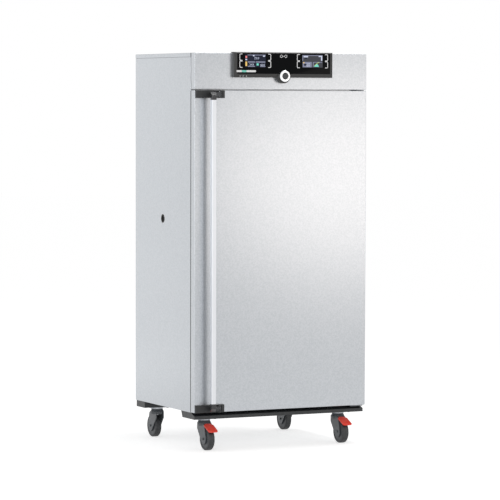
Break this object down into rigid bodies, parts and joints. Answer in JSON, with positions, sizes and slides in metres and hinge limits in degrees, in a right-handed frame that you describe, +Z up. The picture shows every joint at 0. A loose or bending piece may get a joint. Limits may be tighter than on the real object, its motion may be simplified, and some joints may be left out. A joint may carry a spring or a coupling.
{
  "type": "constant climate chamber",
  "caption": "Tall stainless climate chamber on casters with insulated door, long bar handle, glass inner door, shelves, air circulation and a rear thermoelectric unit.",
  "frame": {"origin": "on the floor, at the middle of the whole width and depth (handle bar to rear fan guards)", "axes": "+Z up, -Y is the front with the door, +X is right as seen from the front"},
  "size_m": [0.824, 0.84, 1.7045],
  "materials": {
    "painted": "satin black powder coat",
    "stainless": "fine textured stainless steel",
    "polished": "bright",
    "black_plastic": "satin",
    "dark_glass": "gloss black pane",
    "screen": "gloss",
    "clear_glass": "clear",
    "rubber": "matte",
    "insulation": "matte fibre",
    "sink_aluminium": "satin",
    "ceramic": "matte",
    "motor": "cast",
    "board": "gloss",
    "bronze": "satin",
    "zinc": "satin grey",
    "tyre": "matte",
    "red_plastic": "satin"
  },
  "bodies": {
    "cabinet": {"front_beam": "painted", "rear_beam": "painted", "side_panel_left": "stainless", "side_panel_right": "stainless", "top_cover": "stainless", "fascia": "stainless", "inner_liner": "stainless", "front_frame": "stainless", "rear_panel": "stainless", "floor_pan": "stainless", "shelves": "stainless", "air_baffle": "stainless", "rear_housing": "stainless", "port_liner": "stainless", "chamber_sensors": "stainless", "hinge_brackets": "stainless", "fan_guards": "stainless", "cockpit_housing": "black_plastic", "exhaust_fan_frames": "black_plastic", "mains_inlet": "black_plastic", "humidifier": "black_plastic", "cockpit_glass": "dark_glass", "displays": "screen", "case_insulation": "insulation", "cold_sink": "sink_aluminium", "hot_sink": "sink_aluminium", "thermoelectric_modules": "ceramic", "circulation_motor": "motor", "power_supply": "motor", "controller_board": "board", "caster_plates": "zinc"},
    "door": {"door_shell": "stainless", "door_insulation": "insulation", "door_inner_panel": "stainless", "door_gasket": "rubber", "latch_housings": "black_plastic", "hinge_bushes": "bronze", "latch_pivot_pins": "stainless"},
    "handle": {"handle_bar": "polished", "latch_levers": "black_plastic"},
    "glass_door": {"glass_pane": "clear_glass", "glass_door_hinges": "stainless", "glass_door_catch": "black_plastic"},
    "control_ring": {"control_ring": "polished"},
    "confirm_button": {"confirm_button": "black_plastic"},
    "power_switch": {"power_switch": "black_plastic"},
    "port_plug": {"port_plug": "rubber"},
    "circulation_fan": {"circulation_fan": "stainless"},
    "exhaust_fan_left": {"exhaust_fan_left": "black_plastic"},
    "exhaust_fan_right": {"exhaust_fan_right": "black_plastic"},
    "brake_pedal_left": {"brake_pedal_left": "red_plastic"},
    "brake_pedal_right": {"brake_pedal_right": "red_plastic"},
    "caster_fork_fl": {"caster_fork_fl": "zinc"},
    "caster_wheel_fl": {"caster_wheel_fl": "tyre"},
    "caster_fork_fr": {"caster_fork_fr": "zinc"},
    "caster_wheel_fr": {"caster_wheel_fr": "tyre"},
    "caster_fork_rl": {"caster_fork_rl": "zinc"},
    "caster_wheel_rl": {"caster_wheel_rl": "tyre"},
    "caster_fork_rr": {"caster_fork_rr": "zinc"},
    "caster_wheel_rr": {"caster_wheel_rr": "tyre"}
  },
  "joints": [
    {"name": "door_hinge", "type": "hinge", "parent": "cabinet", "child": "door", "pos_m": [0.396, -0.348, 0.855], "axis": [0, 0, 1], "range_deg": [0, 130]},
    {"name": "glass_door_hinge", "type": "hinge", "parent": "cabinet", "child": "glass_door", "pos_m": [0.314, -0.313, 0.855], "axis": [0, 0, 1], "range_deg": [0, 104]},
    {"name": "handle_turn", "type": "hinge", "parent": "door", "child": "handle", "pos_m": [-0.3, -0.375, 0.855], "axis": [0, 0, 1], "range_deg": [0, 55]},
    {"name": "control_ring_turn", "type": "hinge", "parent": "cabinet", "child": "control_ring", "pos_m": [0, -0.392, 1.603], "axis": [0, -1, 0], "continuous": true},
    {"name": "confirm_button_press", "type": "slide", "parent": "cabinet", "child": "confirm_button", "axis": [0, 1, 0], "range_m": [0, 0.0015], "stiffness_N_per_m": 400, "springref_m": -0.0005},
    {"name": "power_switch_press", "type": "slide", "parent": "cabinet", "child": "power_switch", "axis": [0, 1, 0], "range_m": [0, 0.0015], "stiffness_N_per_m": 400, "springref_m": -0.0005},
    {"name": "port_plug_slide", "type": "slide", "parent": "cabinet", "child": "port_plug", "axis": [-1, 0, 0], "range_m": [0, 0.075]},
    {"name": "circulation_fan_spin", "type": "hinge", "parent": "cabinet", "child": "circulation_fan", "pos_m": [0, 0.19, 1.15], "axis": [0, 1, 0], "continuous": true},
    {"name": "exhaust_fan_left_spin", "type": "hinge", "parent": "cabinet", "child": "exhaust_fan_left", "pos_m": [-0.115, 0.39, 0.72], "axis": [0, 1, 0], "continuous": true},
    {"name": "exhaust_fan_right_spin", "type": "hinge", "parent": "cabinet", "child": "exhaust_fan_right", "pos_m": [0.115, 0.39, 0.72], "axis": [0, 1, 0], "continuous": true},
    {"name": "caster_swivel_fl", "type": "hinge", "parent": "cabinet", "child": "caster_fork_fl", "pos_m": [-0.324, -0.276, 0.12], "axis": [0, 0, 1], "continuous": true},
    {"name": "caster_roll_fl", "type": "hinge", "parent": "caster_fork_fl", "child": "caster_wheel_fl", "pos_m": [-0.324, -0.307, 0.05], "axis": [1, 0, 0], "continuous": true},
    {"name": "caster_swivel_fr", "type": "hinge", "parent": "cabinet", "child": "caster_fork_fr", "pos_m": [0.324, -0.276, 0.12], "axis": [0, 0, 1], "continuous": true},
    {"name": "caster_roll_fr", "type": "hinge", "parent": "caster_fork_fr", "child": "caster_wheel_fr", "pos_m": [0.324, -0.307, 0.05], "axis": [1, 0, 0], "continuous": true},
    {"name": "caster_swivel_rl", "type": "hinge", "parent": "cabinet", "child": "caster_fork_rl", "pos_m": [-0.324, 0.218, 0.12], "axis": [0, 0, 1], "continuous": true},
    {"name": "caster_roll_rl", "type": "hinge", "parent": "caster_fork_rl", "child": "caster_wheel_rl", "pos_m": [-0.324, 0.249, 0.05], "axis": [1, 0, 0], "continuous": true},
    {"name": "caster_swivel_rr", "type": "hinge", "parent": "cabinet", "child": "caster_fork_rr", "pos_m": [0.324, 0.218, 0.12], "axis": [0, 0, 1], "continuous": true},
    {"name": "caster_roll_rr", "type": "hinge", "parent": "caster_fork_rr", "child": "caster_wheel_rr", "pos_m": [0.324, 0.249, 0.05], "axis": [1, 0, 0], "continuous": true},
    {"name": "brake_pedal_left_lift", "type": "hinge", "parent": "caster_fork_fl", "child": "brake_pedal_left", "pos_m": [-0.324, -0.312, 0.105], "axis": [-1, 0, 0], "range_deg": [0, 18]},
    {"name": "brake_pedal_right_lift", "type": "hinge", "parent": "caster_fork_fr", "child": "brake_pedal_right", "pos_m": [0.324, -0.312, 0.105], "axis": [-1, 0, 0], "range_deg": [0, 18]}
  ],
  "couplings": [
    {"joint": "glass_door_hinge", "follows": "door_hinge", "ratio": 0.8}
  ]
}
